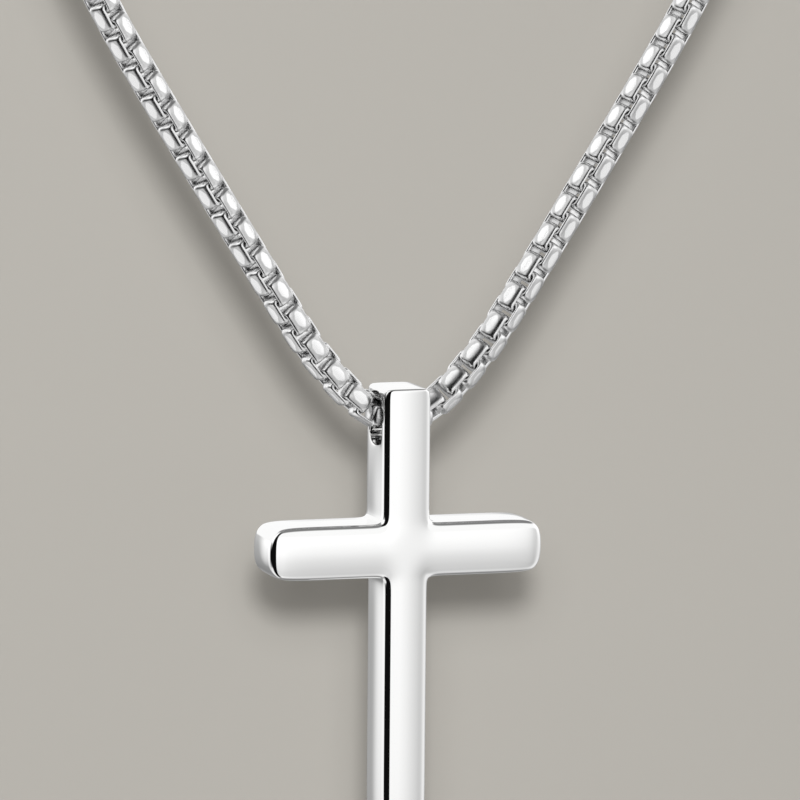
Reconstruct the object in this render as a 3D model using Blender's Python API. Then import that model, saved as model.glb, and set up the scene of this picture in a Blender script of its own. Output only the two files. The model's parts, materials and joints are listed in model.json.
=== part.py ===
"""Cross pendant hanging free on a round box chain.

Metres, +Z up. The front of the cross faces -Y and the loop of chain lies in the XZ plane. The origin is the
underside of the clasp, where the loop hangs. The middle of the chain runs sideways through a slot bored near
the top of the upright, and the cross swings about that axis.
"""
import math

import bmesh
import bpy
from mathutils import Vector

# Clearances
FIT_GAP = 0.0003                # all round between two pieces that fit each other
BORE_HEADROOM = 0.0006          # between the chain and the top of the bore

# Chain
CHAIN_DIAMETER = 0.0028
CHAIN_POINTS = 40               # points along each half of the chain
CHAIN_CROWDING = 1.4            # above 1, the points crowd together towards the bore

# The chain's route: distance from the middle, and height above the bore's axis. It is the same on both sides.
CHAIN_ROUTE = [
    (0.0, 0.0),
    (0.00196, 0.00011),
    (0.00436, 0.00181),
    (0.00684, 0.00454),
    (0.00907, 0.00753),
    (0.01550, 0.01760),
    (0.02204, 0.02810),
    (0.02620, 0.03525),
    (0.03120, 0.04520),
    (0.03860, 0.06200),
    (0.04650, 0.08500),
    (0.05300, 0.11000),
    (0.05700, 0.13500),
    (0.05800, 0.15300),
    (0.05260, 0.17450),
    (0.03730, 0.19440),
    (0.01980, 0.20450),
    (0.00700, 0.20780),
    (0.0, 0.20800),
]

# Cross
CROSS_SPAN = 0.0242             # from tip to tip of the crossbar
CROSS_HEIGHT = 0.0397
UPPER_WIDTH = 0.00413           # of the upright above the crossbar
LOWER_WIDTH = 0.00375           # of the upright below the crossbar
CROSSBAR_HEIGHT = 0.0046
CROSSBAR_DROP = 0.01375         # from the top of the upright to the middle of the crossbar
TIP_BULGE = 0.0003              # how far the middle of a domed end stands beyond its corners
TIP_CORNER = 0.0004             # how far those corners are then drawn in to round them
TOP_CORNER_IN = 0.0004          # how far the top's corners are drawn in, and down
TOP_CORNER_DOWN = 0.00006
CROWN = 0.0002                  # how far the front rises towards the middle of each bar
SIDE_CROWN = 0.00008            # how far the sides swell at half their depth
FACE_EDGE = 0.0009              # rounded margin of the front and back faces
SIDE_EDGE = 0.0007              # rounded margin of the sides
INNER_CORNER = 0.0010           # rounded stretch where the crossbar meets the upright

# Bore through the upright
BORE_HEIGHT = 0.0046
BORE_CORNER = 0.0010            # rounding of the bore's four corners
BORE_TOP_WALL = 0.0004
BORE_SIDE_WALL = 0.00085
BORE_RIM = 0.00015              # rounded rim of the bore's mouths

# Clasp
CLASP_LENGTH = 0.0120
CLASP_WALL = 0.0006
CLASP_SOCKET = 0.0018           # depth of the socket that takes a chain end
CLASP_EDGE = 0.0004
CLASP_SIDES = 20

# Sizes and places that follow
CHAIN_RADIUS = CHAIN_DIAMETER / 2
BORE_WIDTH = CHAIN_DIAMETER + 2 * FIT_GAP
BORE_TOP = CHAIN_RADIUS + BORE_HEADROOM
BORE_BOTTOM = BORE_TOP - BORE_HEIGHT
CROSS_DEPTH = BORE_WIDTH + 2 * BORE_SIDE_WALL
CROSS_TOP = BORE_TOP + BORE_TOP_WALL
CROSS_BOTTOM = CROSS_TOP - CROSS_HEIGHT
CROSSBAR_MIDDLE = CROSS_TOP - CROSSBAR_DROP
SOCKET_RADIUS = CHAIN_RADIUS + FIT_GAP
CLASP_RADIUS = SOCKET_RADIUS + CLASP_WALL
CLASP_AXIS_Z = CLASP_RADIUS
BORE_AXIS_Z = CLASP_AXIS_Z - CHAIN_ROUTE[-1][1]


def clear_scene():
    for thing in list(bpy.data.objects):
        bpy.data.objects.remove(thing, do_unlink=True)


def polished_silver(name, roughness):
    material = bpy.data.materials.new(name)
    material.use_nodes = True
    shader = material.node_tree.nodes["Principled BSDF"]
    shader.inputs["Base Color"].default_value = (0.93, 0.93, 0.92, 1.0)
    shader.inputs["Metallic"].default_value = 1.0
    shader.inputs["Roughness"].default_value = roughness
    return material


def add_object(name, data, material):
    data.materials.append(material)
    thing = bpy.data.objects.new(name, data)
    bpy.context.scene.collection.objects.link(thing)
    return thing


def mesh_from(name, shape):
    mesh = bpy.data.meshes.new(name)
    bmesh.ops.recalc_face_normals(shape, faces=shape.faces)
    shape.to_mesh(mesh)
    shape.free()
    mesh.shade_smooth()
    return mesh


# The cross is a cage of faces on a grid of columns and rows, which a Subdivision Surface rounds

BAR_ROWS = (5, 9)               # first and last row of the crossbar
BORE_ROWS = (11, 14)            # rows just below and just above the bore
UPRIGHT_COLUMNS = 2             # columns from the middle of the upright to its side


def cross_columns():
    """Distances of the columns beyond the upright, outwards from its side."""
    tip = CROSS_SPAN / 2
    side = max(UPPER_WIDTH, LOWER_WIDTH) / 2
    corner = side + INNER_CORNER
    shoulder = tip - FACE_EDGE - TIP_BULGE
    return [corner, (corner + shoulder) / 2, shoulder, tip]


def cross_rows():
    """Heights of the rows, from the bottom of the upright to its top, above the bore's axis."""
    half = CROSSBAR_HEIGHT / 2
    bar_bottom = CROSSBAR_MIDDLE - half
    bar_top = CROSSBAR_MIDDLE + half
    shoulder = CROSS_BOTTOM + FACE_EDGE + TIP_BULGE
    below_corner = bar_bottom - INNER_CORNER
    third = (below_corner - shoulder) / 3
    straight = BORE_HEIGHT - 2 * BORE_CORNER
    bore_middle = (BORE_TOP + BORE_BOTTOM) / 2
    return [
        CROSS_BOTTOM, shoulder, shoulder + third, shoulder + 2 * third, below_corner,
        bar_bottom, bar_bottom + FACE_EDGE, CROSSBAR_MIDDLE, bar_top - FACE_EDGE, bar_top,
        bar_top + INNER_CORNER, BORE_BOTTOM - 2 * BORE_RIM,
        bore_middle - straight / 2, bore_middle + straight / 2,
        CROSS_TOP - BORE_TOP_WALL + BORE_RIM, CROSS_TOP,
    ]


def upright_half_width(row):
    """Half the upright's width at a row: it narrows across the crossbar."""
    first, last = BAR_ROWS
    share = min(max((row - first) / (last - first), 0.0), 1.0)
    return (LOWER_WIDTH + (UPPER_WIDTH - LOWER_WIDTH) * share) / 2


def column_place(column, row):
    """How far a column stands to the side at a row, with the upright's own columns following its width."""
    half = upright_half_width(row)
    places = [0.0, half - FACE_EDGE, half] + cross_columns()
    distance = places[abs(column)]
    return distance if column >= 0 else -distance


def tip_rounding(share, at_corner):
    """How far a tip's end is drawn in and sideways, at a share of the arm's half width."""
    bulge = TIP_BULGE * share ** 2
    if not at_corner:
        return bulge, 0.0
    return bulge + TIP_CORNER, math.copysign(TIP_CORNER, share)


def crown_at(column, row, x, z):
    """How far the front swells at a corner of the cage: fully along the arms' middles, not at all at their sides."""
    across = abs(x) / upright_half_width(row)
    up = abs(z - CROSSBAR_MIDDLE) / (CROSSBAR_HEIGHT / 2)
    on_upright = abs(column) <= UPRIGHT_COLUMNS
    on_crossbar = BAR_ROWS[0] <= row <= BAR_ROWS[1]
    if row == 0 or abs(column) == UPRIGHT_COLUMNS + len(cross_columns()):
        return 0.0
    if on_upright and on_crossbar:
        return CROWN * (1.0 - across ** 2 * up ** 2)
    side = across if on_upright else up
    return CROWN * max(1.0 - side ** 2, 0.0)


def in_outline(place):
    """Whether a face between columns and rows belongs to the upright or to the crossbar."""
    first, last = BAR_ROWS
    return abs(place.x) < UPRIGHT_COLUMNS or first < place.z < last


def front_sheet(shape):
    """A crowned sheet of faces in the outline of the cross, at the depth of its front."""
    rows = cross_rows()
    last_column = UPRIGHT_COLUMNS + len(cross_columns())
    last_row = len(rows) - 1
    bmesh.ops.create_grid(shape, x_segments=2 * last_column, y_segments=last_row, size=1.0)
    for corner in shape.verts:
        column = round(corner.co.x * last_column)
        row = round((corner.co.y + 1.0) / 2.0 * last_row)
        corner.co = (column, 0.0, row)
    outside = [face for face in shape.faces if not in_outline(face.calc_center_median())]
    bmesh.ops.delete(shape, geom=outside, context='FACES')

    for corner in shape.verts:
        column = round(corner.co.x)
        row = round(corner.co.z)
        x = column_place(column, row)
        z = rows[row]
        if abs(column) == last_column:
            share = (z - CROSSBAR_MIDDLE) / (CROSSBAR_HEIGHT / 2)
            inward, sideways = tip_rounding(share, row in BAR_ROWS)
            x -= math.copysign(inward, x)
            z -= sideways
        if row == 0:
            inward, sideways = tip_rounding(x / upright_half_width(row), abs(column) == UPRIGHT_COLUMNS)
            z += inward
            x -= sideways
        if row == last_row and abs(column) == UPRIGHT_COLUMNS:
            x -= math.copysign(TOP_CORNER_IN, x)
            z -= TOP_CORNER_DOWN
        lift = crown_at(column, row, x, z)
        corner.co = (x, -CROSS_DEPTH / 2 - lift, z)


def push_out(shape, faces, step, keep):
    """Extrude a patch of faces by a step, and return the patch at its new place."""
    result = bmesh.ops.extrude_face_region(shape, geom=faces, use_keep_orig=True)
    moved = [part for part in result["geom"] if isinstance(part, bmesh.types.BMVert)]
    bmesh.ops.translate(shape, vec=step, verts=moved)
    if not keep:
        bmesh.ops.delete(shape, geom=faces, context='FACES')
    return [part for part in result["geom"] if isinstance(part, bmesh.types.BMFace)]


def deepen(shape):
    """Extrude the sheet back in steps, flatten the back and swell the sides at half their depth."""
    middle = CROSS_DEPTH / 2
    steps = [SIDE_EDGE, middle - SIDE_EDGE, middle - SIDE_EDGE, SIDE_EDGE]
    front = list(shape.faces)
    cap = front
    for step in steps:
        cap = push_out(shape, cap, (0.0, step, 0.0), keep=cap is front)
    for corner in {corner for face in cap for corner in face.verts}:
        corner.co.y = middle

    bore_low = cross_rows()[BORE_ROWS[0]] - BORE_RIM
    bar_end = CROSS_SPAN / 2 - FACE_EDGE
    side_reach = max(UPPER_WIDTH, LOWER_WIDTH) / 2 + INNER_CORNER / 2
    for corner in shape.verts:
        x, y, z = corner.co
        up = z - CROSSBAR_MIDDLE
        if abs(y) > SIDE_EDGE / 2 or z > bore_low:
            continue
        if abs(x) > bar_end and abs(up) < CROSSBAR_HEIGHT / 2 - FACE_EDGE / 2:
            corner.co.x += math.copysign(SIDE_CROWN, x)
        elif abs(x) > side_reach:
            corner.co.z += math.copysign(SIDE_CROWN, up)
        elif abs(up) > CROSSBAR_HEIGHT / 2 + INNER_CORNER / 2:
            corner.co.x += math.copysign(SIDE_CROWN, x)


def slot_outline():
    """Points round the bore as (depth, height), clockwise from the top: a slot with rounded corners."""
    half = BORE_WIDTH / 2
    cut = BORE_CORNER * (1.0 - 0.5 ** 0.5)
    high = BORE_TOP - BORE_CORNER
    low = BORE_BOTTOM + BORE_CORNER
    return [
        (0.0, BORE_TOP), (half - cut, BORE_TOP - cut), (half, high),
        (half, low), (half - cut, BORE_BOTTOM + cut), (0.0, BORE_BOTTOM),
        (cut - half, BORE_BOTTOM + cut), (-half, low),
        (-half, high), (cut - half, BORE_TOP - cut),
    ]


def cage_round(outline):
    """Corners of a closed cage whose smoothed curve passes through the outline's points."""
    targets = [Vector(point) for point in outline]
    count = len(targets)
    cage = [point.copy() for point in targets]
    for _ in range(20):
        smooth = [(cage[i - 1] + 4 * cage[i] + cage[(i + 1) % count]) / 6 for i in range(count)]
        cage = [corner + target - point for corner, target, point in zip(cage, targets, smooth)]
    return cage


def rim_edges(faces):
    """The edges round a patch of faces."""
    patch = set(faces)
    edges = {edge for face in faces for edge in face.edges}
    return [edge for edge in edges if len([face for face in edge.link_faces if face in patch]) == 1]


def fit_to_slot(faces, cage, x):
    """Move the corners round a patch of faces onto the slot's cage, in the order of their direction."""
    corners = list({corner for edge in rim_edges(faces) for corner in edge.verts})
    middle_z = (BORE_TOP + BORE_BOTTOM) / 2

    def top_first(depth, height):
        flat = Vector((depth / BORE_WIDTH, (height - middle_z) / BORE_HEIGHT))
        return flat.angle_signed(Vector((0.0, 1.0)), 0.0)

    corners.sort(key=lambda corner: top_first(corner.co.y, corner.co.z))
    ordered = sorted(cage, key=lambda point: top_first(point.x, point.y))
    for corner, point in zip(corners, ordered):
        corner.co = (x, point.x, point.y)
    for corner in {corner for face in faces for corner in face.verts} - set(corners):
        corner.co.x = x


def open_bore(shape):
    """Cut the slot through the upright: inset both sides, turn in a rim and bridge the two mouths."""
    rows = cross_rows()
    low, high = rows[BORE_ROWS[0]], rows[BORE_ROWS[1]]
    cage = cage_round(slot_outline())
    reach = CROSS_DEPTH / 2 - SIDE_EDGE
    side = UPPER_WIDTH / 2
    mouths = []
    for sign in (-1, 1):
        faces = []
        for face in shape.faces:
            place = face.calc_center_median()
            on_side = abs(place.x - sign * side) < BORE_RIM / 10
            if on_side and low < place.z < high and abs(place.y) < reach:
                faces.append(face)
        bmesh.ops.inset_region(shape, faces=faces, thickness=BORE_RIM, use_even_offset=True)
        fit_to_slot(faces, cage, sign * side)
        faces = push_out(shape, faces, (-sign * 2 * BORE_RIM, 0.0, 0.0), keep=False)
        mouths += rim_edges(faces)
        bmesh.ops.delete(shape, geom=faces, context='FACES')
    bmesh.ops.bridge_loops(shape, edges=mouths)


def make_cross(material):
    shape = bmesh.new()
    front_sheet(shape)
    deepen(shape)
    open_bore(shape)
    cross = add_object("cross", mesh_from("cross", shape), material)
    cross.location.z = BORE_AXIS_Z
    rounding = cross.modifiers.new("Rounding", 'SUBSURF')
    rounding.levels = 1
    rounding.render_levels = 1


# The chain's halves are tubes along one smooth curve

def smooth_route():
    """Closely spaced points on the smooth curve through half the route."""
    points = [Vector((x, 0.0, z)) for x, z in CHAIN_ROUTE]
    mirror = Vector((-1.0, 1.0, 1.0))
    points = [points[1] * mirror] + points + [points[-2] * mirror]
    steps = 24
    smooth = []
    for before, start, end, after in zip(points, points[1:], points[2:], points[3:]):
        for step in range(steps):
            t = step / steps
            smooth.append((
                start * 2 + (end - before) * t
                + (before * 2 - start * 5 + end * 4 - after) * t ** 2
                + (start * 3 - before - end * 3 + after) * t ** 3
            ) / 2)
    smooth.append(points[-2])
    return smooth


def points_along(curve, distances):
    """The curve's points at the given distances from its start."""
    places = []
    covered = 0.0
    wanted = list(distances)
    for start, end in zip(curve, curve[1:]):
        length = (end - start).length
        while wanted and wanted[0] <= covered + length:
            places.append(start.lerp(end, (wanted[0] - covered) / length))
            wanted.pop(0)
        covered += length
    return places


def make_chain_half(name, side, material):
    """One half of the chain, from the middle of the bore into its socket in the clasp."""
    curve = smooth_route()
    whole = sum((end - start).length for start, end in zip(curve, curve[1:]))
    first = FIT_GAP / 2
    last = whole - (CLASP_LENGTH / 2 - CLASP_SOCKET + FIT_GAP)
    shares = [(number / (CHAIN_POINTS - 1)) ** CHAIN_CROWDING for number in range(CHAIN_POINTS)]
    places = points_along(curve, [first + (last - first) * share for share in shares])

    tube = bpy.data.curves.new(name, 'CURVE')
    tube.dimensions = '3D'
    tube.bevel_depth = CHAIN_RADIUS
    tube.bevel_resolution = 2
    tube.use_fill_caps = True
    spline = tube.splines.new('POLY')
    spline.points.add(len(places) - 1)
    for point, place in zip(spline.points, places):
        point.co = (side * place.x, place.y, place.z + BORE_AXIS_Z, 1.0)
    add_object(name, tube, material)


# The clasp is a turned barrel with a blind socket in each end

def make_clasp(material):
    end = CLASP_LENGTH / 2
    floor = end - CLASP_SOCKET
    half = [
        (floor, 0.0), (floor, SOCKET_RADIUS), (end, SOCKET_RADIUS),
        (end, CLASP_RADIUS - CLASP_EDGE), (end - CLASP_EDGE, CLASP_RADIUS),
    ]
    profile = half + [(-x, radius) for x, radius in reversed(half)]
    shape = bmesh.new()
    corners = [shape.verts.new((x, 0.0, radius)) for x, radius in profile]
    edges = [shape.edges.new(pair) for pair in zip(corners, corners[1:])]
    bmesh.ops.spin(
        shape, geom=corners + edges, cent=(0, 0, 0), axis=(1, 0, 0),
        angle=math.tau, steps=CLASP_SIDES, use_merge=True,
    )
    bmesh.ops.remove_doubles(shape, verts=shape.verts, dist=0.00001)
    clasp = add_object("clasp", mesh_from("clasp", shape), material)
    clasp.data.set_sharp_from_angle(angle=0.6)
    clasp.location.z = CLASP_AXIS_Z


def main():
    clear_scene()
    make_cross(polished_silver("polished_cross", 0.06))
    chain = polished_silver("polished_chain", 0.12)
    make_chain_half("chain_left", -1, chain)
    make_chain_half("chain_right", 1, chain)
    make_clasp(polished_silver("polished_clasp", 0.12))


main()
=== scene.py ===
"""Looks of the cross pendant: the polished cross, its round box chain and the plain clasp."""
import json
import math

import bmesh
import bpy
from mathutils import Matrix, Vector


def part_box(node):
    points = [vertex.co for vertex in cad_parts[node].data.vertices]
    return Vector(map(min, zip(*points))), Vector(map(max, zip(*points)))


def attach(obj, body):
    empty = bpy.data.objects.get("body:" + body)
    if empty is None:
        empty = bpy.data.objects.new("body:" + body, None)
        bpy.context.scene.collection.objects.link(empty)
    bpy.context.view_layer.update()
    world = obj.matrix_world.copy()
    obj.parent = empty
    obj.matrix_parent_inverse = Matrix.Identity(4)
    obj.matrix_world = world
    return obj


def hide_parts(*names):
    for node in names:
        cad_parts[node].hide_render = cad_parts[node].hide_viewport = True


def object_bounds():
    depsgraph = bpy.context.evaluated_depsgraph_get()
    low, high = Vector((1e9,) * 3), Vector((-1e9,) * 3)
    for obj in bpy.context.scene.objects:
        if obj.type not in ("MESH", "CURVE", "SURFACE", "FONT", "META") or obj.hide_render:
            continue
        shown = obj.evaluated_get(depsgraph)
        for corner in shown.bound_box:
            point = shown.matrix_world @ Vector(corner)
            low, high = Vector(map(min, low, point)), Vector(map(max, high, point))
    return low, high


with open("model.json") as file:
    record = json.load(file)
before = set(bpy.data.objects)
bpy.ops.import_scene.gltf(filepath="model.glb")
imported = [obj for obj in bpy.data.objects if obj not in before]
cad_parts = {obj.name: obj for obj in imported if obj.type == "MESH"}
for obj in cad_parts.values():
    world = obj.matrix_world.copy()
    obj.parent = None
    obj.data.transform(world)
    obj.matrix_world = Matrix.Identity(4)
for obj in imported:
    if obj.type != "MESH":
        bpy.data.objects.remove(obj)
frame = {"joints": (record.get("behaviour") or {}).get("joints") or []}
CAD_LOW, CAD_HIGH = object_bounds()


# Sizes read from the frame

CLASP_LOW, CLASP_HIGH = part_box("clasp")
BORE_AXIS_Z = frame["joints"][0]["pos_m"][2]

MILLIMETRE = 0.001
SAME_PLACE = 0.00001            # corners closer than this are merged

# Chain, in metres

CHAIN_DIAMETER = 0.0028         # the width that the bore is made for
LINK_PITCH = 0.001465           # from one link's middle to the next one's
STRIP_THICKNESS = 0.00046       # of the strip that a link is bent from, along its sides
END_THICKNESS = 0.00062         # and round its ends
STRIP_WIDTH = 0.00178
STRIP_FACE = 0.001              # width of the strip's nearly flat middle
STRIP_DOME = 0.00021            # how much lower the strip's edges lie than its middle
LINK_CORNER = 0.00033
LINK_WIDTH = 0.00264
LINK_LENGTH = LINK_PITCH + 2 * END_THICKNESS
LINK_SMOOTHING = 1
ROUTE_STEPS = 24                # points between one place of the route and the next
# A painted highlight on each link's face: a long bright oval, with a painted darker ring round it and lighter
# rims.
# First half the length of the oval's straight middle line, then how bright the silver is painted by the
# distance from that line, in millimetres
OVAL_STRAIGHT = 0.00032
PAINTED_OVAL_HIGHLIGHT = [(0.0, 0.96), (0.48, 0.96), (0.57, 0.58), (0.74, 0.66), (0.89, 0.93), (1.0, 0.93)]
# Painted shade: the silver inside the links is painted darker, where shade falls
PAINTED_SHADE_INSIDE = 0.85              # brightness of the silver inside the links

# The chain's route on both sides: distance from the middle, and height above the bore's axis
CHAIN_ROUTE = [
    (0.0, 0.0),
    (0.00196, 0.00011),
    (0.00436, 0.00181),
    (0.00684, 0.00454),
    (0.00907, 0.00753),
    (0.01550, 0.01760),
    (0.02204, 0.02810),
    (0.02620, 0.03525),
    (0.03120, 0.04520),
    (0.03860, 0.06200),
    (0.04650, 0.08500),
    (0.05300, 0.11000),
    (0.05700, 0.13500),
    (0.05800, 0.15300),
    (0.05260, 0.17450),
    (0.03730, 0.19440),
    (0.01980, 0.20450),
    (0.00700, 0.20780),
    (0.0, 0.20800),
]

# How far the chain's broad faces turn from the front towards the inside of the loop, by the distance along
# the chain from the bore, with the left half's distances below nought
CHAIN_TURN = [
    (-0.0220, 123.0),
    (-0.0165, 113.0),
    (-0.0120, 106.0),
    (-0.0080, 103.0),
    (-0.0030, 100.0),
    (0.0030, 40.0),
    (0.0080, 44.0),
    (0.0120, 48.0),
    (0.0165, 54.0),
    (0.0220, 65.0),
]

# Cross, in metres

FIT_GAP = 0.0003
BORE_HEADROOM = 0.0006
CROSS_SPAN = 0.0242
CROSS_HEIGHT = 0.0397
UPPER_WIDTH = 0.00413
LOWER_WIDTH = 0.00375
CROSSBAR_HEIGHT = 0.0046
CROSSBAR_DROP = 0.01375
TIP_BULGE = 0.0003
TIP_CORNER = 0.0004
TOP_CORNER_IN = 0.0004
TOP_CORNER_DOWN = 0.00006
CROWN = 0.0002
SIDE_CROWN = 0.00008
FACE_EDGE = 0.0009
SIDE_EDGE = 0.0007
INNER_CORNER = 0.0010
BORE_HEIGHT = 0.0046
BORE_CORNER = 0.0010
BORE_TOP_WALL = 0.0004
BORE_SIDE_WALL = 0.00085
BORE_RIM = 0.00015

BORE_WIDTH = CHAIN_DIAMETER + 2 * FIT_GAP
BORE_TOP = CHAIN_DIAMETER / 2 + BORE_HEADROOM
BORE_BOTTOM = BORE_TOP - BORE_HEIGHT
CROSS_DEPTH = BORE_WIDTH + 2 * BORE_SIDE_WALL
CROSS_TOP = BORE_TOP + BORE_TOP_WALL
CROSS_BOTTOM = CROSS_TOP - CROSS_HEIGHT
CROSSBAR_MIDDLE = CROSS_TOP - CROSSBAR_DROP

# Rows and columns of the cross's cage
BAR_ROWS = (5, 9)
BORE_ROWS = (11, 14)
UPRIGHT_COLUMNS = 2
CROSS_SMOOTHING = 3
FITTING_PASSES = 20             # times that a cage is corrected to bring its smooth curve onto an outline

# Clasp, in metres

CLASP_WALL = 0.0006
CLASP_SOCKET = 0.0018           # depth of the socket that takes a chain end
CLASP_RIM = 0.0016              # from a mouth to its groove
CLASP_GROOVE = 0.00015          # depth of a groove, and half its width
CLASP_SIDES = 64
CLASP_EDGE = 0.00035
CLASP_EDGE_STEPS = 4
CLASP_EDGE_ANGLE = 40.0         # edges that turn more than this are rounded, in degrees

# Polish: patches of gloss, and hairlines

PATCH_DETAIL = 4.0
PATCH_RANGE = (0.35, 0.7)       # noise values of the smoothest and of the roughest patches
HAIRLINE_SCALE = 2500.0
HAIRLINE_DETAIL = 2.0
HAIRLINE_DEPTH = 0.00001
MIRROR_FINISH = {
    "tint": (0.96, 0.96, 0.955), "patch_scale": 300.0, "smoothest": 0.03, "roughest": 0.07, "ripple": 0.02,
}
CHAIN_FINISH = {
    "tint": (0.95, 0.95, 0.945), "patch_scale": 900.0, "smoothest": 0.22, "roughest": 0.3, "ripple": 0.02,
}
CLASP_FINISH = {
    "tint": (0.95, 0.95, 0.945), "patch_scale": 600.0, "smoothest": 0.06, "roughest": 0.12, "ripple": 0.04,
}

# Studio surroundings that the metal mirrors. Places in the studio are azimuths and elevations seen from the
# pendant, in degrees: azimuth 0 is straight in front, and -90 is on the picture's left.

STUDIO_AROUND = [               # azimuth, brightness
    (-180.0, 0.40), (-165.0, 0.46), (-157.0, 1.15), (-10.0, 1.2), (10.0, 1.2),
    (18.0, 1.08), (25.0, 0.93), (33.0, 0.75), (42.0, 0.70), (100.0, 0.69), (150.0, 0.62), (180.0, 0.40),
]
STUDIO_UP = [                   # elevation, brightness
    (-90.0, 0.30), (-65.0, 0.35), (-48.0, 0.85), (-30.0, 0.6), (-18.0, 0.62), (-13.0, 0.72), (-8.0, 0.87),
    (-3.0, 0.96), (2.0, 1.0), (30.0, 1.0), (41.0, 0.22), (90.0, 0.22),
]
EVEN_FROM = 4.0                 # elevation above which the azimuth makes no difference
EVEN_EDGE = 4.0
CARDS = [                       # black cards: first and last azimuth, first and last elevation
    ((-124.0, -58.0), (-24.0, 9.0)),
    ((-66.0, 4.0), (-58.0, 50.0)),
]
CARD_EDGE = 8.0
CARD_SHADE = 0.004
LIT_MIDDLE = (40.0, -5.0)       # middle of the round bright front, which the cards stop short of
LIT_REACH = 51.5
LIT_EDGE = 3.0
SOFTBOXES = [                   # azimuth, elevation, half the width, brightness
    (78.0, 17.0, 30.0, 1.1),
    (67.0, -32.0, 28.0, 0.85),
    (-107.0, -50.0, 30.0, 0.88),
    (-97.0, 41.0, 37.0, 1.1),
]
SOFTBOX_EDGE = 20.0
NO_LIMIT = 400.0                # an angle past every real one, for a range that is open at one end
PLAIN_SURROUNDINGS = (0.56, 0.545, 0.51)     # what the camera sees past the stage

# Lamp: a round softbox, seen from the bore

LAMP_AZIMUTH = -17.8
LAMP_ELEVATION = 11.4
LAMP_DISTANCE = 1.2
LAMP_SPREAD = 120.0
LAMP_PARTS = [("key_whole", 0.18, 2.35), ("key_middle", 0.06, 3.4)]   # diameter in metres, power in watts

# Stage, in metres

STAGE_REACH = 3.0               # half the width of the floor, and of the backdrop
FLOOR_DROP = 0.06               # from the part's lowest point down to the floor
BACKDROP_Y = 0.05
PAINT_COLOUR = (0.377, 0.362, 0.335)
PAINT_ROUGHNESS = 0.9
PAINT_SHINE = 0.1

# Camera

SENSOR_WIDTH = 36.0             # in millimetres
NEAREST_SEEN = 0.01
FARTHEST_SEEN = 20.0
VIEW_AZIMUTH = -18.3
VIEW_ELEVATION = 7.4
VIEW_ROLL = 0.5
VIEW_DISTANCE = 0.8
VIEW_WIDTH = 0.0675             # width of the picture at the pendant
VIEW_AIM = (0.00009, 0.0, 0.00113)   # middle of the picture, from the middle of the bore


# Steps in a node tree

def give(links, value, socket):
    """Feed a socket from another node's output, or set it to a plain value."""
    if isinstance(value, bpy.types.NodeSocket):
        links.new(value, socket)
    else:
        socket.default_value = value


def grey(brightness):
    return (brightness, brightness, brightness, 1.0)


def calculate(nodes, links, operation, *values):
    step = nodes.new("ShaderNodeMath")
    step.operation = operation
    for value, socket in zip(values, step.inputs):
        give(links, value, socket)
    return step.outputs["Value"]


def stretch(nodes, links, value, start, end):
    """A step that gives nought at the start of a range and one at its end."""
    step = nodes.new("ShaderNodeMapRange")
    step.inputs["From Min"].default_value = start
    step.inputs["From Max"].default_value = end
    links.new(value, step.inputs["Value"])
    return step


def shades(nodes, links, share, stops):
    """Brightness by a share from nought to one; stops are (share, brightness)."""
    table = nodes.new("ShaderNodeValToRGB")
    points = table.color_ramp.elements
    while len(points) < len(stops):
        points.new(0.5)
    for point, (place, brightness) in zip(points, stops):
        point.position = place
        point.color = grey(brightness)
    links.new(share, table.inputs["Fac"])
    return table.outputs["Color"]


def mix(nodes, links, how, share, first, second):
    """Mix two colours."""
    step = nodes.new("ShaderNodeMix")
    step.data_type = 'RGBA'
    step.blend_type = how
    give(links, share, step.inputs["Factor"])
    give(links, first, step.inputs["A"])
    give(links, second, step.inputs["B"])
    return step.outputs["Result"]


# Materials

def polish_group():
    """Fine variation of a polished surface: soft patches of gloss, and hairlines too faint to see singly."""
    group = bpy.data.node_groups.new("polish", 'ShaderNodeTree')
    group.interface.new_socket("Coordinates", in_out='INPUT', socket_type='NodeSocketVector')
    for name in ("Patch Scale", "Smoothest", "Roughest", "Ripple"):
        group.interface.new_socket(name, in_out='INPUT', socket_type='NodeSocketFloat')
    group.interface.new_socket("Roughness", in_out='OUTPUT', socket_type='NodeSocketFloat')
    group.interface.new_socket("Normal", in_out='OUTPUT', socket_type='NodeSocketVector')
    nodes, links = group.nodes, group.links
    given = nodes.new("NodeGroupInput")
    out = nodes.new("NodeGroupOutput")

    patches = nodes.new("ShaderNodeTexNoise")
    patches.inputs["Detail"].default_value = PATCH_DETAIL
    links.new(given.outputs["Coordinates"], patches.inputs["Vector"])
    links.new(given.outputs["Patch Scale"], patches.inputs["Scale"])
    gloss = stretch(nodes, links, patches.outputs["Fac"], *PATCH_RANGE)
    links.new(given.outputs["Smoothest"], gloss.inputs["To Min"])
    links.new(given.outputs["Roughest"], gloss.inputs["To Max"])
    links.new(gloss.outputs["Result"], out.inputs["Roughness"])

    hairlines = nodes.new("ShaderNodeTexNoise")
    hairlines.inputs["Scale"].default_value = HAIRLINE_SCALE
    hairlines.inputs["Detail"].default_value = HAIRLINE_DETAIL
    links.new(given.outputs["Coordinates"], hairlines.inputs["Vector"])
    bump = nodes.new("ShaderNodeBump")
    bump.inputs["Distance"].default_value = HAIRLINE_DEPTH
    links.new(given.outputs["Ripple"], bump.inputs["Strength"])
    links.new(hairlines.outputs["Fac"], bump.inputs["Height"])
    links.new(bump.outputs["Normal"], out.inputs["Normal"])
    return group


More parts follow.
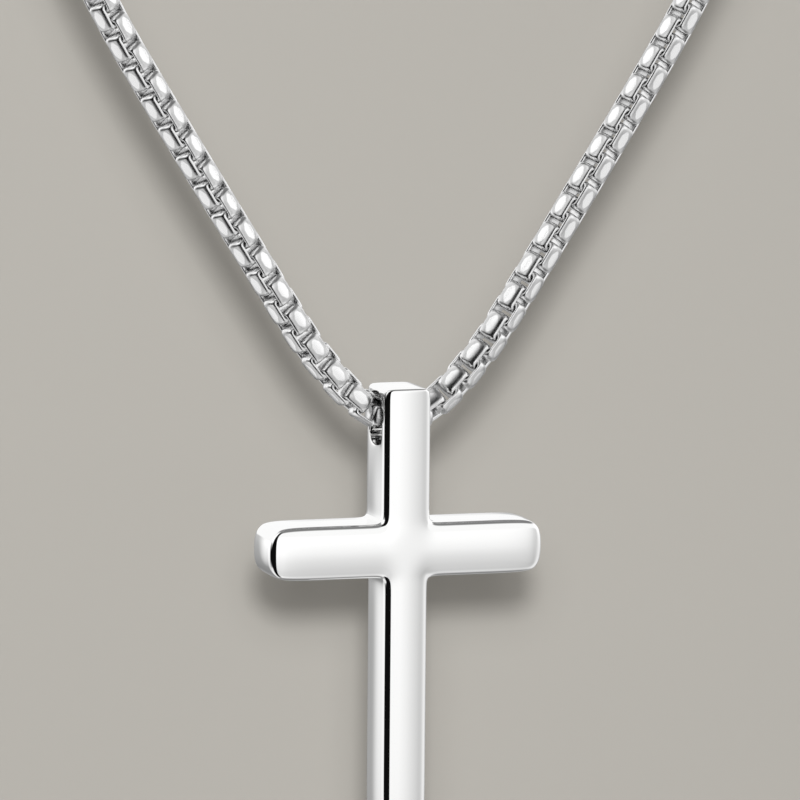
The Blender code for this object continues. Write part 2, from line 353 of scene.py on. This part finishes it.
def silver(name, polish, tint, patch_scale, smoothest, roughest, ripple):
    """Polished silver, with its gloss and its faint ripple from the polish group."""
    material = bpy.data.materials.new(name)
    material.use_nodes = True
    nodes, links = material.node_tree.nodes, material.node_tree.links
    shader = nodes["Principled BSDF"]
    shader.inputs["Base Color"].default_value = (*tint, 1.0)
    shader.inputs["Metallic"].default_value = 1.0
    place = nodes.new("ShaderNodeTexCoord")
    finish = nodes.new("ShaderNodeGroup")
    finish.node_tree = polish
    finish.inputs["Patch Scale"].default_value = patch_scale
    finish.inputs["Smoothest"].default_value = smoothest
    finish.inputs["Roughest"].default_value = roughest
    finish.inputs["Ripple"].default_value = ripple
    links.new(place.outputs["Object"], finish.inputs["Coordinates"])
    links.new(finish.outputs["Roughness"], shader.inputs["Roughness"])
    links.new(finish.outputs["Normal"], shader.inputs["Normal"])
    return material


def chain_silver(polish):
    """Silver with a painted highlight, a bright oval in the middle of each link's face, and painted shade, a
    little darker inside the links.
    """
    material = silver("chain_silver", polish, **CHAIN_FINISH)
    nodes, links = material.node_tree.nodes, material.node_tree.links
    place = nodes.new("ShaderNodeAttribute")
    place.attribute_name = "link_place"
    apart = nodes.new("ShaderNodeSeparateXYZ")
    links.new(place.outputs["Vector"], apart.inputs["Vector"])
    along = calculate(nodes, links, 'ABSOLUTE', apart.outputs["X"])
    past = stretch(nodes, links, along, OVAL_STRAIGHT, OVAL_STRAIGHT + MILLIMETRE)
    across = calculate(nodes, links, 'MULTIPLY', apart.outputs["Z"], 1.0 / MILLIMETRE)
    both = nodes.new("ShaderNodeCombineXYZ")
    links.new(past.outputs["Result"], both.inputs["X"])
    links.new(across, both.inputs["Y"])
    reach = nodes.new("ShaderNodeVectorMath")
    reach.operation = 'LENGTH'
    links.new(both.outputs["Vector"], reach.inputs[0])
    # painted highlight: a bright oval on each link's face, with a painted darker ring round it
    face = shades(nodes, links, reach.outputs["Value"], PAINTED_OVAL_HIGHLIGHT)
    hollow = nodes.new("ShaderNodeAttribute")
    hollow.attribute_name = "hollow"
    # painted shade: darker silver inside the links
    tint = mix(nodes, links, 'MIX', hollow.outputs["Fac"], face, grey(PAINTED_SHADE_INSIDE))
    links.new(tint, nodes["Principled BSDF"].inputs["Base Color"])
    return material


# Pieces

def add_piece(name, shape, material):
    """Make an object at the origin from a bmesh."""
    mesh = bpy.data.meshes.new(name)
    shape.to_mesh(mesh)
    shape.free()
    mesh.shade_smooth()
    mesh.materials.append(material)
    piece = bpy.data.objects.new(name, mesh)
    bpy.context.scene.collection.objects.link(piece)
    return piece


def smooth_cage(piece, levels):
    """Round a piece off from its cage."""
    smoothing = piece.modifiers.new("Smoothing", 'SUBSURF')
    smoothing.levels = levels
    smoothing.render_levels = levels


# Cross

def cross_columns():
    """Distances of the columns beyond the upright, outwards from its side."""
    tip = CROSS_SPAN / 2
    side = max(UPPER_WIDTH, LOWER_WIDTH) / 2
    corner = side + INNER_CORNER
    shoulder = tip - FACE_EDGE - TIP_BULGE
    return [corner, (corner + shoulder) / 2, shoulder, tip]


def cross_rows():
    """Heights of the rows, from the bottom of the upright to its top, above the bore's axis."""
    half = CROSSBAR_HEIGHT / 2
    bar_bottom = CROSSBAR_MIDDLE - half
    bar_top = CROSSBAR_MIDDLE + half
    shoulder = CROSS_BOTTOM + FACE_EDGE + TIP_BULGE
    below_corner = bar_bottom - INNER_CORNER
    third = (below_corner - shoulder) / 3
    straight = BORE_HEIGHT - 2 * BORE_CORNER
    bore_middle = (BORE_TOP + BORE_BOTTOM) / 2
    return [
        CROSS_BOTTOM, shoulder, shoulder + third, shoulder + 2 * third, below_corner,
        bar_bottom, bar_bottom + FACE_EDGE, CROSSBAR_MIDDLE, bar_top - FACE_EDGE, bar_top,
        bar_top + INNER_CORNER, BORE_BOTTOM - 2 * BORE_RIM,
        bore_middle - straight / 2, bore_middle + straight / 2,
        CROSS_TOP - BORE_TOP_WALL + BORE_RIM, CROSS_TOP,
    ]


def upright_half_width(row):
    """Half the upright's width at a row: it narrows across the crossbar."""
    first, last = BAR_ROWS
    share = min(max((row - first) / (last - first), 0.0), 1.0)
    return (LOWER_WIDTH + (UPPER_WIDTH - LOWER_WIDTH) * share) / 2


def column_place(column, row):
    half = upright_half_width(row)
    places = [0.0, half - FACE_EDGE, half] + cross_columns()
    distance = places[abs(column)]
    return distance if column >= 0 else -distance


def tip_rounding(share, at_corner):
    """How far a tip's end is drawn in and sideways, at a share of the arm's half width."""
    bulge = TIP_BULGE * share ** 2
    if not at_corner:
        return bulge, 0.0
    return bulge + TIP_CORNER, math.copysign(TIP_CORNER, share)


def crown_at(column, row, x, z):
    """How far the front swells at a corner of the cage: most along an arm's middle, none at its sides."""
    across = abs(x) / upright_half_width(row)
    up = abs(z - CROSSBAR_MIDDLE) / (CROSSBAR_HEIGHT / 2)
    on_upright = abs(column) <= UPRIGHT_COLUMNS
    on_crossbar = BAR_ROWS[0] <= row <= BAR_ROWS[1]
    if row == 0 or abs(column) == UPRIGHT_COLUMNS + len(cross_columns()):
        return 0.0
    if on_upright and on_crossbar:
        return CROWN * (1.0 - across ** 2 * up ** 2)
    side = across if on_upright else up
    return CROWN * max(1.0 - side ** 2, 0.0)


def in_outline(place):
    first, last = BAR_ROWS
    return abs(place.x) < UPRIGHT_COLUMNS or first < place.z < last


def front_sheet(shape):
    """A flat sheet of faces in the outline of the cross, at the depth of its front."""
    rows = cross_rows()
    last_column = UPRIGHT_COLUMNS + len(cross_columns())
    last_row = len(rows) - 1
    bmesh.ops.create_grid(shape, x_segments=2 * last_column, y_segments=last_row, size=1.0)
    for corner in shape.verts:
        column = round(corner.co.x * last_column)
        row = round((corner.co.y + 1.0) / 2.0 * last_row)
        corner.co = (column, 0.0, row)
    outside = [face for face in shape.faces if not in_outline(face.calc_center_median())]
    bmesh.ops.delete(shape, geom=outside, context='FACES')

    for corner in shape.verts:
        column = round(corner.co.x)
        row = round(corner.co.z)
        x = column_place(column, row)
        z = rows[row]
        if abs(column) == last_column:
            share = (z - CROSSBAR_MIDDLE) / (CROSSBAR_HEIGHT / 2)
            inward, sideways = tip_rounding(share, row in BAR_ROWS)
            x -= math.copysign(inward, x)
            z -= sideways
        if row == 0:
            inward, sideways = tip_rounding(x / upright_half_width(row), abs(column) == UPRIGHT_COLUMNS)
            z += inward
            x -= sideways
        if row == last_row and abs(column) == UPRIGHT_COLUMNS:
            x -= math.copysign(TOP_CORNER_IN, x)
            z -= TOP_CORNER_DOWN
        lift = crown_at(column, row, x, z)
        corner.co = (x, -CROSS_DEPTH / 2 - lift, z)


def push_out(shape, faces, step, keep):
    """Extrude a patch of faces by a step, and return the patch at its new place."""
    result = bmesh.ops.extrude_face_region(shape, geom=faces, use_keep_orig=True)
    moved = [part for part in result["geom"] if isinstance(part, bmesh.types.BMVert)]
    bmesh.ops.translate(shape, vec=step, verts=moved)
    if not keep:
        bmesh.ops.delete(shape, geom=faces, context='FACES')
    return [part for part in result["geom"] if isinstance(part, bmesh.types.BMFace)]


def deepen(shape):
    """Extrude the sheet back in steps, flatten the back and swell the sides at half their depth."""
    middle = CROSS_DEPTH / 2
    steps = [SIDE_EDGE, middle - SIDE_EDGE, middle - SIDE_EDGE, SIDE_EDGE]
    front = list(shape.faces)
    cap = front
    for step in steps:
        cap = push_out(shape, cap, (0.0, step, 0.0), keep=cap is front)
    for corner in {corner for face in cap for corner in face.verts}:
        corner.co.y = middle

    bore_low = cross_rows()[BORE_ROWS[0]] - BORE_RIM
    bar_end = CROSS_SPAN / 2 - FACE_EDGE
    side_reach = max(UPPER_WIDTH, LOWER_WIDTH) / 2 + INNER_CORNER / 2
    for corner in shape.verts:
        x, y, z = corner.co
        up = z - CROSSBAR_MIDDLE
        if abs(y) > SIDE_EDGE / 2 or z > bore_low:
            continue
        if abs(x) > bar_end and abs(up) < CROSSBAR_HEIGHT / 2 - FACE_EDGE / 2:
            corner.co.x += math.copysign(SIDE_CROWN, x)
        elif abs(x) > side_reach:
            corner.co.z += math.copysign(SIDE_CROWN, up)
        elif abs(up) > CROSSBAR_HEIGHT / 2 + INNER_CORNER / 2:
            corner.co.x += math.copysign(SIDE_CROWN, x)


def slot_outline():
    """Points round the bore as (depth, height), clockwise from the top: a slot with rounded corners."""
    half = BORE_WIDTH / 2
    cut = BORE_CORNER * (1.0 - 0.5 ** 0.5)
    high = BORE_TOP - BORE_CORNER
    low = BORE_BOTTOM + BORE_CORNER
    return [
        (0.0, BORE_TOP), (half - cut, BORE_TOP - cut), (half, high),
        (half, low), (half - cut, BORE_BOTTOM + cut), (0.0, BORE_BOTTOM),
        (cut - half, BORE_BOTTOM + cut), (-half, low),
        (-half, high), (cut - half, BORE_TOP - cut),
    ]


def cage_round(outline):
    """Corners of a closed cage whose smoothed curve passes through the outline's points."""
    targets = [Vector(point) for point in outline]
    count = len(targets)
    cage = [point.copy() for point in targets]
    for _ in range(FITTING_PASSES):
        smooth = [(cage[i - 1] + 4 * cage[i] + cage[(i + 1) % count]) / 6 for i in range(count)]
        cage = [corner + target - point for corner, target, point in zip(cage, targets, smooth)]
    return cage


def rim_edges(faces):
    """The edges round a patch of faces."""
    patch = set(faces)
    edges = {edge for face in faces for edge in face.edges}
    return [edge for edge in edges if len([face for face in edge.link_faces if face in patch]) == 1]


def fit_to_slot(faces, cage, x):
    """Move the corners round a patch of faces onto the slot's cage, in the order of their direction."""
    corners = list({corner for edge in rim_edges(faces) for corner in edge.verts})
    middle_z = (BORE_TOP + BORE_BOTTOM) / 2

    def top_first(depth, height):
        flat = Vector((depth / BORE_WIDTH, (height - middle_z) / BORE_HEIGHT))
        return flat.angle_signed(Vector((0.0, 1.0)), 0.0)

    corners.sort(key=lambda corner: top_first(corner.co.y, corner.co.z))
    ordered = sorted(cage, key=lambda point: top_first(point.x, point.y))
    for corner, point in zip(corners, ordered):
        corner.co = (x, point.x, point.y)
    for corner in {corner for face in faces for corner in face.verts} - set(corners):
        corner.co.x = x


def open_bore(shape):
    """Cut the slot through the upright: inset both sides, turn in a rim and bridge the two mouths."""
    rows = cross_rows()
    low, high = rows[BORE_ROWS[0]], rows[BORE_ROWS[1]]
    cage = cage_round(slot_outline())
    reach = CROSS_DEPTH / 2 - SIDE_EDGE
    side = UPPER_WIDTH / 2
    mouths = []
    for sign in (-1, 1):
        faces = []
        for face in shape.faces:
            place = face.calc_center_median()
            on_side = abs(place.x - sign * side) < BORE_RIM / 10
            if on_side and low < place.z < high and abs(place.y) < reach:
                faces.append(face)
        bmesh.ops.inset_region(shape, faces=faces, thickness=BORE_RIM, use_even_offset=True)
        fit_to_slot(faces, cage, sign * side)
        faces = push_out(shape, faces, (-sign * 2 * BORE_RIM, 0.0, 0.0), keep=False)
        mouths += rim_edges(faces)
        bmesh.ops.delete(shape, geom=faces, context='FACES')
    bmesh.ops.bridge_loops(shape, edges=mouths)


def make_cross(material):
    shape = bmesh.new()
    front_sheet(shape)
    deepen(shape)
    open_bore(shape)
    bmesh.ops.translate(shape, vec=(0.0, 0.0, BORE_AXIS_Z), verts=shape.verts)
    bmesh.ops.recalc_face_normals(shape, faces=shape.faces)
    cross = add_piece("cross_polished", shape, material)
    smooth_cage(cross, CROSS_SMOOTHING)
    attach(cross, "cross")
    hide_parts("cross")


# Chain

def smooth_route():
    """Closely spaced points on the smooth curve through half the route."""
    points = [Vector((x, 0.0, z)) for x, z in CHAIN_ROUTE]
    mirror = Vector((-1.0, 1.0, 1.0))
    points = [points[1] * mirror] + points + [points[-2] * mirror]
    smooth = []
    for before, start, end, after in zip(points, points[1:], points[2:], points[3:]):
        for step in range(ROUTE_STEPS):
            t = step / ROUTE_STEPS
            smooth.append((
                start * 2 + (end - before) * t
                + (before * 2 - start * 5 + end * 4 - after) * t ** 2
                + (start * 3 - before - end * 3 + after) * t ** 3
            ) / 2)
    smooth.append(points[-2])
    return smooth


def place_along(curve, distance):
    """Point and direction at a distance along the half route; below nought, on its mirror image."""
    wanted = abs(distance)
    covered = 0.0
    for start, end in zip(curve, curve[1:]):
        length = (end - start).length
        if wanted <= covered + length or end is curve[-1]:
            break
        covered += length
    point = start.lerp(end, (wanted - covered) / length)
    direction = (end - start).normalized()
    if distance < 0:
        point = Vector((-point.x, point.y, point.z))
        direction = Vector((direction.x, direction.y, -direction.z))
    return point, direction


def turn_at(distance):
    """How far the broad faces turn towards the inside of the loop at a distance along the chain."""
    if distance <= CHAIN_TURN[0][0]:
        return CHAIN_TURN[0][1]
    for (near, turn), (far, next_turn) in zip(CHAIN_TURN, CHAIN_TURN[1:]):
        if distance <= far:
            share = (distance - near) / (far - near)
            return turn + (next_turn - turn) * share
    return CHAIN_TURN[-1][1]


def link_shape():
    """One link as a mesh: a strip bent into a box with round corners, nearly flat outside with lower edges.

    Its length is along X, its width along Y and the strip's width along Z. Each corner keeps its place in the
    link and whether it lies inside, for the silver's painted highlight and painted shade.
    """
    end, side = LINK_LENGTH / 2, LINK_WIDTH / 2
    quarter = [(end, side - LINK_CORNER), (end - LINK_CORNER, side), (end - 2 * LINK_CORNER, side)]
    half = quarter + [(-x, y) for x, y in reversed(quarter)]
    outline = half + [(-x, -y) for x, y in half]
    low = (end - STRIP_DOME / 2, side - STRIP_DOME)
    mouth = (end - END_THICKNESS, side - STRIP_THICKNESS)
    rings = [
        ((end, side), STRIP_FACE / 2), ((end, side), -STRIP_FACE / 2), (low, -STRIP_WIDTH / 2),
        (mouth, -STRIP_WIDTH / 2), (mouth, STRIP_WIDTH / 2), (low, STRIP_WIDTH / 2),
    ]
    shape = bmesh.new()
    corners = [shape.verts.new((x, y, rings[0][1])) for x, y in outline]
    first = [shape.edges.new(pair) for pair in zip(corners, corners[1:] + corners[:1])]
    edges = first
    for (reach, z), (next_reach, next_z) in zip(rings, rings[1:]):
        drawn = bmesh.ops.extrude_edge_only(shape, edges=edges)["geom"]
        moved = [part for part in drawn if isinstance(part, bmesh.types.BMVert)]
        edges = [part for part in drawn if isinstance(part, bmesh.types.BMEdge)]
        bmesh.ops.scale(shape, vec=(next_reach[0] / reach[0], next_reach[1] / reach[1], 1.0), verts=moved)
        bmesh.ops.translate(shape, vec=(0.0, 0.0, next_z - z), verts=moved)
    bmesh.ops.bridge_loops(shape, edges=first + edges)
    bmesh.ops.recalc_face_normals(shape, faces=shape.faces)

    # marks the insides of the links, which the silver paints darker as painted shade
    hollow = shape.verts.layers.float.new("hollow")
    # each corner's place in its link sets the painted highlight on the link's face
    place = shape.verts.layers.float_vector.new("link_place")
    for corner in shape.verts:
        corner[place] = corner.co
        x, y, z = (abs(size) for size in corner.co)
        if y < side - STRIP_THICKNESS / 2 and x < end - END_THICKNESS / 2 and z > STRIP_FACE / 2:
            corner[hollow] = 1.0
    mesh = bpy.data.meshes.new("link")
    shape.to_mesh(mesh)
    shape.free()
    return mesh


def make_links(name, stations, link, material):
    """Links joined into one piece, each turned a quarter turn from the last."""
    curve = smooth_route()
    shape = bmesh.new()
    for station in stations:
        distance = station * LINK_PITCH
        middle, along = place_along(curve, distance)
        inward = Vector((-along.z, 0.0, along.x))
        angle = math.radians(turn_at(distance) + 90.0 * (station % 2))
        front = Vector((0.0, -1.0, 0.0))
        broad = front * math.cos(angle) + inward * math.sin(angle)
        flat = along.cross(broad)
        turned = Matrix((along, broad, flat)).transposed().to_4x4()
        turned.translation = middle + Vector((0.0, 0.0, BORE_AXIS_Z))
        before = len(shape.verts)
        shape.from_mesh(link)
        shape.verts.ensure_lookup_table()
        bmesh.ops.transform(shape, matrix=turned, verts=shape.verts[before:])
    links = add_piece(name, shape, material)
    smooth_cage(links, LINK_SMOOTHING)
    return links


def make_chain(material):
    curve = smooth_route()
    whole = sum((end - start).length for start, end in zip(curve, curve[1:]))
    socket_reach = CLASP_HIGH.x - CLASP_SOCKET + FIT_GAP
    last = int((whole - socket_reach - LINK_LENGTH / 2) / LINK_PITCH)
    link = link_shape()
    halves = (("left", range(-last, 0)), ("right", range(0, last + 1)))
    for side, stations in halves:
        links = make_links(f"box_chain_{side}", stations, link, material)
        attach(links, "chain")
        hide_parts(f"chain_{side}")


# Clasp

def make_clasp(material):
    """A turned barrel with a blind socket in each end and a fine groove near each mouth."""
    end = CLASP_HIGH.x
    radius = (CLASP_HIGH.z - CLASP_LOW.z) / 2
    axis_z = (CLASP_HIGH.z + CLASP_LOW.z) / 2
    socket = radius - CLASP_WALL
    floor = end - CLASP_SOCKET
    rim = end - CLASP_RIM
    half = [
        (floor, 0.0), (floor, socket), (end, socket),
        (end, radius), (rim, radius),
        (rim - CLASP_GROOVE, radius - CLASP_GROOVE), (rim - 2 * CLASP_GROOVE, radius),
    ]
    profile = half + [(-x, height) for x, height in reversed(half)]
    shape = bmesh.new()
    corners = [shape.verts.new((x, 0.0, height)) for x, height in profile]
    edges = [shape.edges.new(pair) for pair in zip(corners, corners[1:])]
    bmesh.ops.spin(
        shape, geom=corners + edges, cent=(0, 0, 0), axis=(1, 0, 0),
        angle=math.tau, steps=CLASP_SIDES, use_merge=True,
    )
    bmesh.ops.remove_doubles(shape, verts=shape.verts, dist=SAME_PLACE)
    bmesh.ops.recalc_face_normals(shape, faces=shape.faces)
    bmesh.ops.translate(shape, vec=(0.0, 0.0, axis_z), verts=shape.verts)
    clasp = add_piece("barrel_clasp", shape, material)
    edge = clasp.modifiers.new("Edges", 'BEVEL')
    edge.width = CLASP_EDGE
    edge.segments = CLASP_EDGE_STEPS
    edge.limit_method = 'ANGLE'
    edge.angle_limit = math.radians(CLASP_EDGE_ANGLE)
    edge.harden_normals = True
    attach(clasp, "chain")
    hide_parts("clasp")


# Stage, light and camera

def direction(azimuth, elevation):
    """Unit vector from the pendant towards a place in the studio."""
    a, e = math.radians(azimuth), math.radians(elevation)
    return Vector((math.sin(a) * math.cos(e), -math.cos(a) * math.cos(e), math.sin(e)))


def by_angle(nodes, links, angle, low, high, stops):
    """Brightness over a range of angles; stops are (angle, brightness)."""
    share = stretch(nodes, links, angle, math.radians(low), math.radians(high))
    return shades(nodes, links, share.outputs["Result"], [((at - low) / (high - low), b) for at, b in stops])


def between(nodes, links, angle, limits, edge):
    """One within a range of angles and nought outside it, with soft edges."""
    sides = []
    for limit, reach in zip(limits, (edge / 2, -edge / 2)):
        start, end = math.radians(limit - reach), math.radians(limit + reach)
        side = stretch(nodes, links, angle, start, end)
        side.interpolation_type = 'SMOOTHSTEP'
        sides.append(side.outputs["Result"])
    return calculate(nodes, links, 'MULTIPLY', *sides)


def angle_from(nodes, links, looking, azimuth, elevation):
    """The angle between a direction and a place in the studio."""
    nearness = nodes.new("ShaderNodeVectorMath")
    nearness.operation = 'DOT_PRODUCT'
    nearness.inputs[1].default_value = direction(azimuth, elevation)
    links.new(looking, nearness.inputs[0])
    return calculate(nodes, links, 'ARCCOSINE', nearness.outputs["Value"])


def make_world():
    """The studio as the metal mirrors it, and a plain tone where the camera sees past the stage."""
    world = bpy.data.worlds.new("studio")
    bpy.context.scene.world = world
    world.use_nodes = True
    nodes, links = world.node_tree.nodes, world.node_tree.links
    looking = nodes.new("ShaderNodeTexCoord").outputs["Generated"]
    apart = nodes.new("ShaderNodeSeparateXYZ")
    links.new(looking, apart.inputs["Vector"])
    front = calculate(nodes, links, 'MULTIPLY', apart.outputs["Y"], -1.0)
    around = calculate(nodes, links, 'ARCTAN2', apart.outputs["X"], front)
    up = calculate(nodes, links, 'ARCSINE', apart.outputs["Z"])

    by_azimuth = by_angle(nodes, links, around, -180.0, 180.0, STUDIO_AROUND)
    by_elevation = by_angle(nodes, links, up, -90.0, 90.0, STUDIO_UP)
    even = between(nodes, links, up, (EVEN_FROM, NO_LIMIT), EVEN_EDGE)
    lit = mix(nodes, links, 'MIX', even, by_azimuth, grey(1.0))
    studio = mix(nodes, links, 'MULTIPLY', 1.0, lit, by_elevation)

    away = angle_from(nodes, links, looking, *LIT_MIDDLE)
    past_front = between(nodes, links, away, (LIT_REACH, NO_LIMIT), LIT_EDGE)
    for azimuths, elevations in CARDS:
        wide = between(nodes, links, around, azimuths, CARD_EDGE)
        high = between(nodes, links, up, elevations, CARD_EDGE)
        whole = calculate(nodes, links, 'MULTIPLY', wide, high)
        card = calculate(nodes, links, 'MULTIPLY', whole, past_front)
        studio = mix(nodes, links, 'MIX', card, studio, grey(CARD_SHADE))
    for azimuth, elevation, reach, brightness in SOFTBOXES:
        away = angle_from(nodes, links, looking, azimuth, elevation)
        softbox = between(nodes, links, away, (-NO_LIMIT, reach), SOFTBOX_EDGE)
        studio = mix(nodes, links, 'MIX', softbox, studio, grey(brightness))

    rays = nodes.new("ShaderNodeLightPath")
    seen = mix(nodes, links, 'MIX', rays.outputs["Is Camera Ray"], studio, (*PLAIN_SURROUNDINGS, 1.0))
    links.new(seen, nodes["Background"].inputs["Color"])


def make_paint():
    """Pale paint that is clear from behind, so that the backdrop hides nothing in a view from the back."""
    paint = bpy.data.materials.new("pale_backdrop")
    paint.use_nodes = True
    nodes, links = paint.node_tree.nodes, paint.node_tree.links
    shader = nodes["Principled BSDF"]
    shader.inputs["Base Color"].default_value = (*PAINT_COLOUR, 1.0)
    shader.inputs["Roughness"].default_value = PAINT_ROUGHNESS
    shader.inputs["Specular IOR Level"].default_value = PAINT_SHINE
    behind = nodes.new("ShaderNodeNewGeometry")
    clear = nodes.new("ShaderNodeBsdfTransparent")
    either = nodes.new("ShaderNodeMixShader")
    links.new(behind.outputs["Backfacing"], either.inputs["Fac"])
    links.new(shader.outputs["BSDF"], either.inputs[1])
    links.new(clear.outputs["BSDF"], either.inputs[2])
    links.new(either.outputs["Shader"], nodes["Material Output"].inputs["Surface"])
    return paint


def make_stage():
    paint = make_paint()
    floor_z = CAD_LOW.z - FLOOR_DROP
    for name, turn, place in (
        ("floor", Matrix.Identity(3), (0.0, 0.0, floor_z)),
        ("backdrop", Matrix.Rotation(math.radians(90), 3, 'X'), (0.0, BACKDROP_Y, floor_z + STAGE_REACH)),
    ):
        shape = bmesh.new()
        bmesh.ops.create_grid(shape, x_segments=1, y_segments=1, size=STAGE_REACH)
        bmesh.ops.rotate(shape, matrix=turn, verts=shape.verts)
        bmesh.ops.translate(shape, vec=place, verts=shape.verts)
        surface = add_piece(name, shape, paint)
        surface.visible_glossy = False


def make_lights():
    """A round softbox with a brighter middle: shadows are deep close to the pendant and fade out softly."""
    back = direction(LAMP_AZIMUTH, LAMP_ELEVATION)
    for name, width, power in LAMP_PARTS:
        lamp = bpy.data.lights.new(name, 'AREA')
        lamp.shape = 'DISK'
        lamp.size = width
        lamp.energy = power
        lamp.spread = math.radians(LAMP_SPREAD)
        key = bpy.data.objects.new(name, lamp)
        key.location = Vector((0.0, 0.0, BORE_AXIS_Z)) + back * LAMP_DISTANCE
        key.rotation_mode = 'QUATERNION'
        key.rotation_quaternion = back.to_track_quat('Z', 'Y')
        key.visible_glossy = False
        bpy.context.scene.collection.objects.link(key)


def make_camera():
    lens = bpy.data.cameras.new("camera")
    lens.sensor_width = SENSOR_WIDTH
    lens.lens = lens.sensor_width * VIEW_DISTANCE / VIEW_WIDTH
    lens.clip_start = NEAREST_SEEN
    lens.clip_end = FARTHEST_SEEN
    camera = bpy.data.objects.new("camera", lens)
    bpy.context.scene.collection.objects.link(camera)
    aim = Vector((0.0, 0.0, BORE_AXIS_Z)) + Vector(VIEW_AIM)
    back = direction(VIEW_AZIMUTH, VIEW_ELEVATION)
    camera.location = aim + back * VIEW_DISTANCE
    camera.rotation_mode = 'QUATERNION'
    roll = Matrix.Rotation(math.radians(VIEW_ROLL), 3, back)
    camera.rotation_quaternion = (roll @ back.to_track_quat('Z', 'Y').to_matrix()).to_quaternion()
    bpy.context.scene.camera = camera


def main():
    make_camera()
    make_world()
    make_lights()
    make_stage()
    polish = polish_group()
    make_cross(silver("mirror_silver", polish, **MIRROR_FINISH))
    make_chain(chain_silver(polish))
    make_clasp(silver("clasp_silver", polish, **CLASP_FINISH))
    scene = bpy.context.scene
    scene.view_settings.view_transform = 'Standard'
    bpy.context.view_layer.update()


main()
